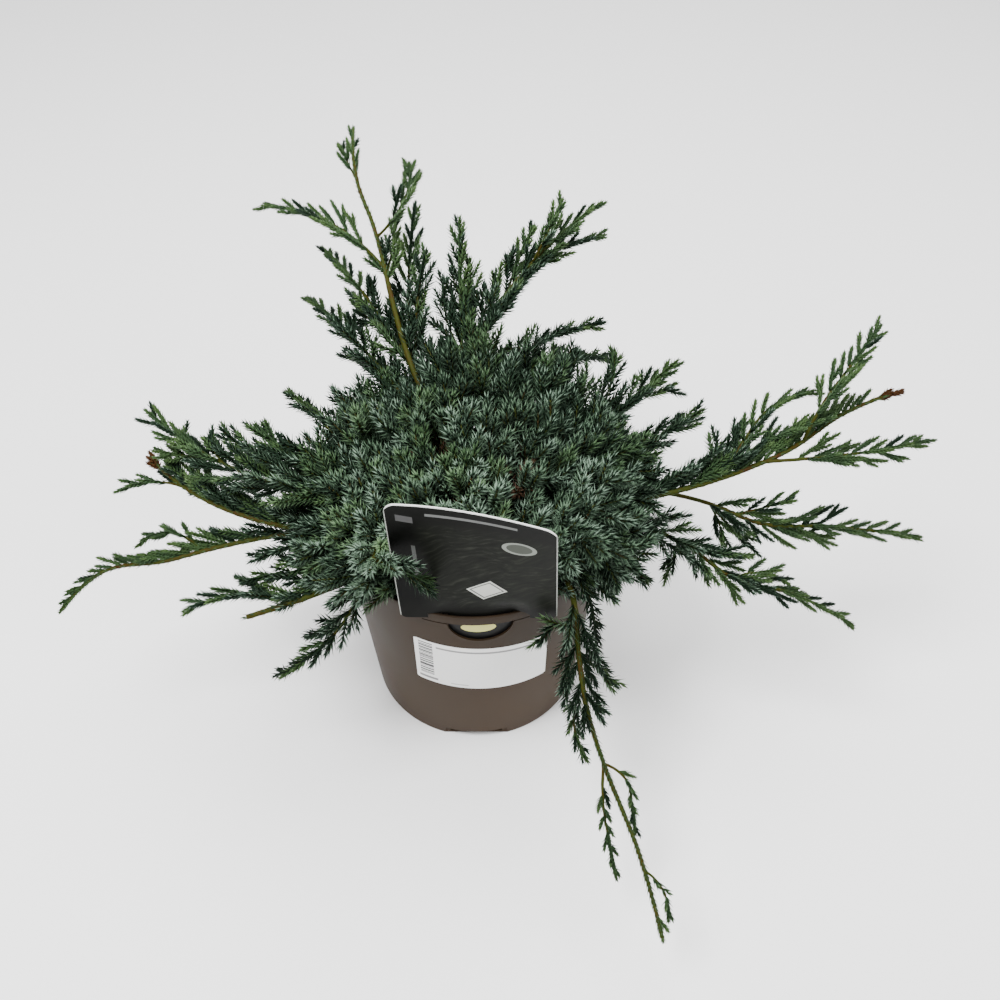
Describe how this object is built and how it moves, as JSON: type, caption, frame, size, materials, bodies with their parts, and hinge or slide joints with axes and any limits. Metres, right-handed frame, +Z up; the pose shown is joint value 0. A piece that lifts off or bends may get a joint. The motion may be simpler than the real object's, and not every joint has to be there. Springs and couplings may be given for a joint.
{
  "type": "potted blue carpet flaky juniper",
  "caption": "Low spreading conifer with blue-green needle sprays on long arching shoots, standing in a tapered plastic nursery pot with a plant card and a price label",
  "frame": {"origin": "the centre of the pot's flat underside, on the ground", "axes": "+Z is up, +X is to the right of the front view with the plant card facing the viewer and is the longest extent, +Y points away from the card to the back of the plant"},
  "size_m": [0.5796, 0.48, 0.3182],
  "materials": {
    "pot": "smooth taupe brown moulded plastic with a soft sheen",
    "compost": "dark moist crumbly potting compost",
    "card": "printed glossy plastic sheet, dark grey with a white edge",
    "label": "smooth white adhesive paper",
    "bark": "thin flaking orange-brown bark over olive young wood",
    "needles": "glaucous blue-green needles, silvery above, green at the tips"
  },
  "bodies": {
    "root": {"bough_back_left_upper": "bark", "bough_back_right_tall": "bark", "bough_back_right_upper": "bark", "bough_back_tall": "bark", "bough_front_hanging": "bark", "bough_left_cut": "bark", "bough_left_long": "bark", "bough_left_low_cut": "bark", "bough_right_long": "bark", "bough_right_lower": "bark", "compost": "compost", "foliage_back_centre": "needles", "foliage_back_left_lower": "needles", "foliage_back_left_upper": "needles", "foliage_back_low_centre": "needles", "foliage_back_low_left": "needles", "foliage_back_low_right": "needles", "foliage_back_right_lower": "needles", "foliage_back_right_tall": "needles", "foliage_back_right_upper": "needles", "foliage_back_second": "needles", "foliage_back_tall": "needles", "foliage_front_hanging": "needles", "foliage_front_left_hanging": "needles", "foliage_front_left_tuft": "needles", "foliage_front_right_low": "needles", "foliage_front_right_tuft": "needles", "foliage_heart_1": "needles", "foliage_heart_2": "needles", "foliage_heart_3": "needles", "foliage_heart_4": "needles", "foliage_heart_5": "needles", "foliage_heart_6": "needles", "foliage_heart_7": "needles", "foliage_heart_8": "needles", "foliage_heart_9": "needles", "foliage_left_back": "needles", "foliage_left_cut": "needles", "foliage_left_inner": "needles", "foliage_left_inner_upper": "needles", "foliage_left_long": "needles", "foliage_left_low_cut": "needles", "foliage_left_low_small": "needles", "foliage_left_upper": "needles", "foliage_right_back": "needles", "foliage_right_drooping": "needles", "foliage_right_long": "needles", "foliage_right_lower": "needles", "foliage_right_small": "needles", "foliage_right_upper": "needles", "plant_card": "card", "pot": "pot", "price_label": "label", "trunk": "bark"}
  },
  "joints": []
}
